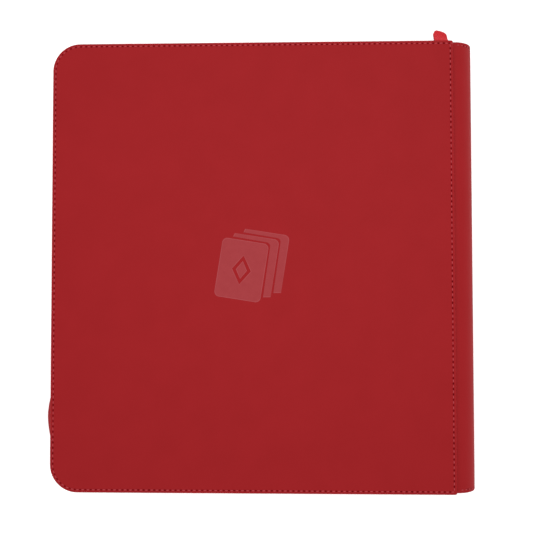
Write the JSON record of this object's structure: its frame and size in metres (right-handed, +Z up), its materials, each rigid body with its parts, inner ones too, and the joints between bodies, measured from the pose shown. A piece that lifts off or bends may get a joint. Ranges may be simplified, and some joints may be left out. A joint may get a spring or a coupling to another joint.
{
  "type": "trading card binder",
  "caption": "Zip-around binder for trading cards: leatherette covers on a folding spine, side-loading pocket pages and a woven zip pull.",
  "frame": {"origin": "centre of the back cover's outer face, on the surface that the closed binder lies on", "axes": "+Z up through the closed binder's thickness, +X from the fore edge towards the spine, +Y along the spine towards the side on which the zip slider is parked"},
  "size_m": [0.3376, 0.3742, 0.038],
  "materials": {
    "leatherette": "matte fine-grained red synthetic leather",
    "board": "pressed greyboard",
    "stiffener": "black polypropylene sheet",
    "lining_cloth": "close-woven charcoal lining",
    "zip_tape": "woven polyester tape",
    "zip_coil": "nylon coil",
    "zip_metal": "red lacquered die-cast zinc",
    "ribbon": "bright red woven ribbon",
    "binding_tape": "charcoal binding tape",
    "page_film": "embossed polypropylene sheet with clear pockets"
  },
  "bodies": {
    "back_cover": {"back_cover_skin": "leatherette", "back_cover_board": "board", "back_cover_lining": "lining_cloth", "back_zip_tape": "zip_tape", "back_zip_coil": "zip_coil", "back_zip_stops": "zip_metal"},
    "spine_slat_1": {"spine_slat_1": "stiffener"},
    "spine_slat_2": {"spine_slat_2": "stiffener"},
    "spine_slat_3": {"spine_slat_3": "stiffener", "spine_skin": "leatherette", "spine_lining": "lining_cloth", "page_binding_strip": "binding_tape", "page_gutters": "page_film"},
    "spine_slat_4": {"spine_slat_4": "stiffener"},
    "spine_slat_5": {"spine_slat_5": "stiffener"},
    "front_cover": {"front_cover_skin": "leatherette", "front_cover_board": "board", "front_cover_lining": "lining_cloth", "front_zip_tape": "zip_tape", "front_zip_coil": "zip_coil", "front_zip_stops": "zip_metal"},
    "page_01": {"page_01": "page_film"},
    "page_02": {"page_02": "page_film"},
    "page_03": {"page_03": "page_film"},
    "page_04": {"page_04": "page_film"},
    "page_05": {"page_05": "page_film"},
    "page_06": {"page_06": "page_film"},
    "page_07": {"page_07": "page_film"},
    "page_08": {"page_08": "page_film"},
    "page_09": {"page_09": "page_film"},
    "page_10": {"page_10": "page_film"},
    "page_11": {"page_11": "page_film"},
    "page_12": {"page_12": "page_film"},
    "page_13": {"page_13": "page_film"},
    "page_14": {"page_14": "page_film"},
    "page_15": {"page_15": "page_film"},
    "page_16": {"page_16": "page_film"},
    "page_17": {"page_17": "page_film"},
    "page_18": {"page_18": "page_film"},
    "page_19": {"page_19": "page_film"},
    "page_20": {"page_20": "page_film"},
    "zip_slider": {"zip_slider": "zip_metal"},
    "zip_pull": {"zip_pull": "zip_metal"},
    "pull_ribbon": {"pull_ribbon": "ribbon"}
  },
  "joints": [
    {"name": "cover_open", "type": "hinge", "parent": "back_cover", "child": "spine_slat_3", "pos_m": [0.17227, 0, 0.00625], "axis": [0, 1, 0], "range_deg": [0, 90], "deforming": ["spine_skin", "spine_lining", "page_gutters"]},
    {"name": "front_cover_open", "type": "hinge", "parent": "spine_slat_3", "child": "front_cover", "pos_m": [0.17227, 0, 0.03175], "axis": [0, 1, 0], "range_deg": [0, 90]},
    {"name": "spine_fold_1", "type": "hinge", "parent": "back_cover", "child": "spine_slat_1", "pos_m": [0.1603, 0, 0.003], "axis": [0, 1, 0], "range_deg": [0, 18]},
    {"name": "spine_fold_2", "type": "hinge", "parent": "spine_slat_1", "child": "spine_slat_2", "pos_m": [0.1697, 0, 0.00606], "axis": [0, 1, 0], "range_deg": [0, 36]},
    {"name": "spine_fold_5", "type": "hinge", "parent": "front_cover", "child": "spine_slat_5", "pos_m": [0.1603, 0, 0.035], "axis": [0, 1, 0], "range_deg": [-18, 0]},
    {"name": "spine_fold_4", "type": "hinge", "parent": "spine_slat_5", "child": "spine_slat_4", "pos_m": [0.1697, 0, 0.03194], "axis": [0, 1, 0], "range_deg": [-36, 0]},
    {"name": "page_01_turn", "type": "hinge", "parent": "spine_slat_3", "child": "page_01", "pos_m": [0.16677, 0, 0.02625], "axis": [0, 1, 0], "range_deg": [0, 90.01]},
    {"name": "page_02_turn", "type": "hinge", "parent": "spine_slat_3", "child": "page_02", "pos_m": [0.16677, 0, 0.02625], "axis": [0, 1, 0], "range_deg": [0, 89.57]},
    {"name": "page_03_turn", "type": "hinge", "parent": "spine_slat_3", "child": "page_03", "pos_m": [0.16677, 0, 0.02625], "axis": [0, 1, 0], "range_deg": [0, 89.12]},
    {"name": "page_04_turn", "type": "hinge", "parent": "spine_slat_3", "child": "page_04", "pos_m": [0.16677, 0, 0.02625], "axis": [0, 1, 0], "range_deg": [0, 88.68]},
    {"name": "page_05_turn", "type": "hinge", "parent": "spine_slat_3", "child": "page_05", "pos_m": [0.16677, 0, 0.02625], "axis": [0, 1, 0], "range_deg": [0, 88.23]},
    {"name": "page_06_turn", "type": "hinge", "parent": "spine_slat_3", "child": "page_06", "pos_m": [0.16677, 0, 0.02625], "axis": [0, 1, 0], "range_deg": [0, 87.79]},
    {"name": "page_07_turn", "type": "hinge", "parent": "spine_slat_3", "child": "page_07", "pos_m": [0.16677, 0, 0.02625], "axis": [0, 1, 0], "range_deg": [0, 87.34]},
    {"name": "page_08_turn", "type": "hinge", "parent": "spine_slat_3", "child": "page_08", "pos_m": [0.16677, 0, 0.02625], "axis": [0, 1, 0], "range_deg": [0, 86.9]},
    {"name": "page_09_turn", "type": "hinge", "parent": "spine_slat_3", "child": "page_09", "pos_m": [0.16677, 0, 0.02625], "axis": [0, 1, 0], "range_deg": [0, 86.45]},
    {"name": "page_10_turn", "type": "hinge", "parent": "spine_slat_3", "child": "page_10", "pos_m": [0.16677, 0, 0.02625], "axis": [0, 1, 0], "range_deg": [0, 86.01]},
    {"name": "page_11_turn", "type": "hinge", "parent": "spine_slat_3", "child": "page_11", "pos_m": [0.16677, 0, 0.01175], "axis": [0, 1, 0], "range_deg": [-86.01, 0]},
    {"name": "page_12_turn", "type": "hinge", "parent": "spine_slat_3", "child": "page_12", "pos_m": [0.16677, 0, 0.01175], "axis": [0, 1, 0], "range_deg": [-86.45, 0]},
    {"name": "page_13_turn", "type": "hinge", "parent": "spine_slat_3", "child": "page_13", "pos_m": [0.16677, 0, 0.01175], "axis": [0, 1, 0], "range_deg": [-86.9, 0]},
    {"name": "page_14_turn", "type": "hinge", "parent": "spine_slat_3", "child": "page_14", "pos_m": [0.16677, 0, 0.01175], "axis": [0, 1, 0], "range_deg": [-87.34, 0]},
    {"name": "page_15_turn", "type": "hinge", "parent": "spine_slat_3", "child": "page_15", "pos_m": [0.16677, 0, 0.01175], "axis": [0, 1, 0], "range_deg": [-87.79, 0]},
    {"name": "page_16_turn", "type": "hinge", "parent": "spine_slat_3", "child": "page_16", "pos_m": [0.16677, 0, 0.01175], "axis": [0, 1, 0], "range_deg": [-88.23, 0]},
    {"name": "page_17_turn", "type": "hinge", "parent": "spine_slat_3", "child": "page_17", "pos_m": [0.16677, 0, 0.01175], "axis": [0, 1, 0], "range_deg": [-88.68, 0]},
    {"name": "page_18_turn", "type": "hinge", "parent": "spine_slat_3", "child": "page_18", "pos_m": [0.16677, 0, 0.01175], "axis": [0, 1, 0], "range_deg": [-89.12, 0]},
    {"name": "page_19_turn", "type": "hinge", "parent": "spine_slat_3", "child": "page_19", "pos_m": [0.16677, 0, 0.01175], "axis": [0, 1, 0], "range_deg": [-89.57, 0]},
    {"name": "page_20_turn", "type": "hinge", "parent": "spine_slat_3", "child": "page_20", "pos_m": [0.16677, 0, 0.01175], "axis": [0, 1, 0], "range_deg": [-90.01, 0]},
    {"name": "slider_run", "type": "slide", "parent": "back_cover", "child": "zip_slider", "axis": [-1, 0, 0], "range_m": [0, 0.284]},
    {"name": "pull_swing", "type": "hinge", "parent": "zip_slider", "child": "zip_pull", "pos_m": [0.154, 0.1792, 0.019], "axis": [0, 0, 1], "range_deg": [-23, 29]},
    {"name": "ribbon_droop", "type": "hinge", "parent": "zip_pull", "child": "pull_ribbon", "pos_m": [0.15427, 0.18439, 0.019], "axis": [0.9986, -0.0523, 0], "range_deg": [-70, 90]}
  ],
  "couplings": [
    {"joint": "front_cover_open", "follows": "cover_open", "ratio": 1},
    {"joint": "spine_fold_1", "follows": "cover_open", "ratio": 0.2},
    {"joint": "spine_fold_2", "follows": "cover_open", "ratio": 0.4},
    {"joint": "spine_fold_5", "follows": "cover_open", "ratio": -0.2},
    {"joint": "spine_fold_4", "follows": "cover_open", "ratio": -0.4},
    {"joint": "page_01_turn", "follows": "cover_open", "ratio": 1},
    {"joint": "page_02_turn", "follows": "cover_open", "ratio": 0.99506},
    {"joint": "page_03_turn", "follows": "cover_open", "ratio": 0.99012},
    {"joint": "page_04_turn", "follows": "cover_open", "ratio": 0.98519},
    {"joint": "page_05_turn", "follows": "cover_open", "ratio": 0.98025},
    {"joint": "page_06_turn", "follows": "cover_open", "ratio": 0.97531},
    {"joint": "page_07_turn", "follows": "cover_open", "ratio": 0.97037},
    {"joint": "page_08_turn", "follows": "cover_open", "ratio": 0.96543},
    {"joint": "page_09_turn", "follows": "cover_open", "ratio": 0.96049},
    {"joint": "page_10_turn", "follows": "cover_open", "ratio": 0.95556},
    {"joint": "page_11_turn", "follows": "cover_open", "ratio": -0.95556},
    {"joint": "page_12_turn", "follows": "cover_open", "ratio": -0.96049},
    {"joint": "page_13_turn", "follows": "cover_open", "ratio": -0.96543},
    {"joint": "page_14_turn", "follows": "cover_open", "ratio": -0.97037},
    {"joint": "page_15_turn", "follows": "cover_open", "ratio": -0.97531},
    {"joint": "page_16_turn", "follows": "cover_open", "ratio": -0.98025},
    {"joint": "page_17_turn", "follows": "cover_open", "ratio": -0.98519},
    {"joint": "page_18_turn", "follows": "cover_open", "ratio": -0.99012},
    {"joint": "page_19_turn", "follows": "cover_open", "ratio": -0.99506},
    {"joint": "page_20_turn", "follows": "cover_open", "ratio": -1}
  ]
}
